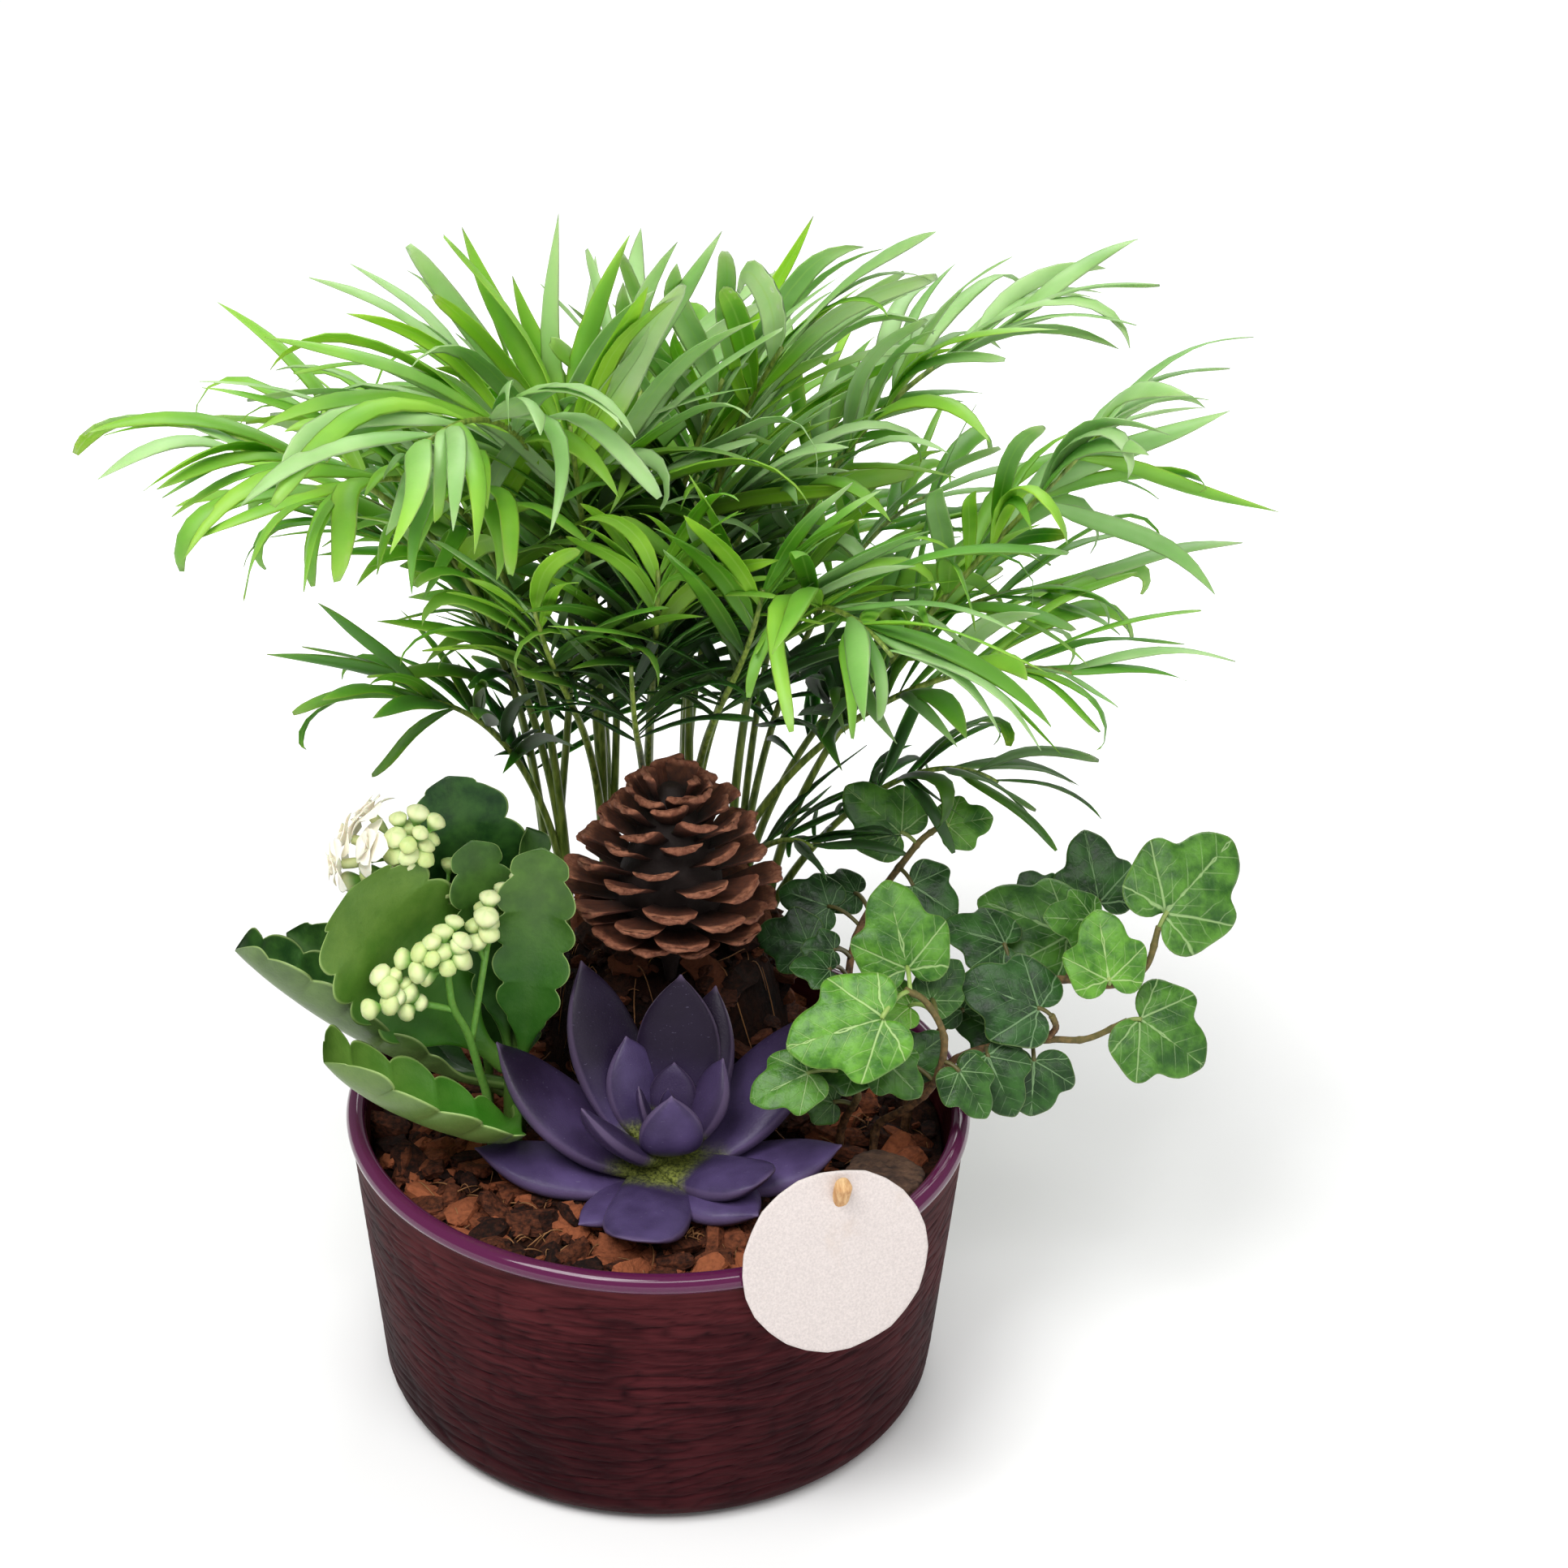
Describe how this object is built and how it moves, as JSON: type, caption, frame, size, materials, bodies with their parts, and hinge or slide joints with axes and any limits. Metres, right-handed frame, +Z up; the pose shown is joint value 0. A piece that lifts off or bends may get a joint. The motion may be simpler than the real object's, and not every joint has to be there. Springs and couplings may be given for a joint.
{
  "type": "planted bowl with echeveria",
  "caption": "Round glazed bowl planted with a purple echeveria, parlour palm, kalanchoe and ivy round a pine cone, with a paper tag on a peg.",
  "frame": {"origin": "centre of the pot's flat underside, on the surface it stands on", "axes": "+Z up along the pot's axis; -Y towards the front of the planting, where the echeveria and the tag are; +X to the right of someone who looks at the front"},
  "size_m": [0.3639, 0.3127, 0.3747],
  "materials": {
    "plum_glaze": "satin glaze, glossy lip",
    "potting_mix": "rough",
    "bark": "rough",
    "palm_leaf": "satin",
    "cone_wood": "matte",
    "purple_paint": "satin",
    "kalanchoe_leaf": "satin",
    "kalanchoe_bud": "satin",
    "ivy_leaf": "satin",
    "paper": "matte",
    "pale_wood": "matte"
  },
  "bodies": {
    "root": {"bark_slab": "bark", "echeveria_rosette": "purple_paint", "ivy_back": "ivy_leaf", "ivy_front": "ivy_leaf", "ivy_low": "ivy_leaf", "ivy_right": "ivy_leaf", "ivy_upper": "ivy_leaf", "kalanchoe_flowers_back": "kalanchoe_bud", "kalanchoe_flowers_front": "kalanchoe_bud", "kalanchoe_plant": "kalanchoe_leaf", "palm_shoot_1": "palm_leaf", "palm_shoot_10": "palm_leaf", "palm_shoot_2": "palm_leaf", "palm_shoot_3": "palm_leaf", "palm_shoot_4": "palm_leaf", "palm_shoot_5": "palm_leaf", "palm_shoot_6": "palm_leaf", "palm_shoot_7": "palm_leaf", "palm_shoot_8": "palm_leaf", "palm_shoot_9": "palm_leaf", "pine_cone": "cone_wood", "pot": "plum_glaze", "potting_soil": "potting_mix", "tag": "paper", "tag_peg": "pale_wood"}
  },
  "joints": []
}
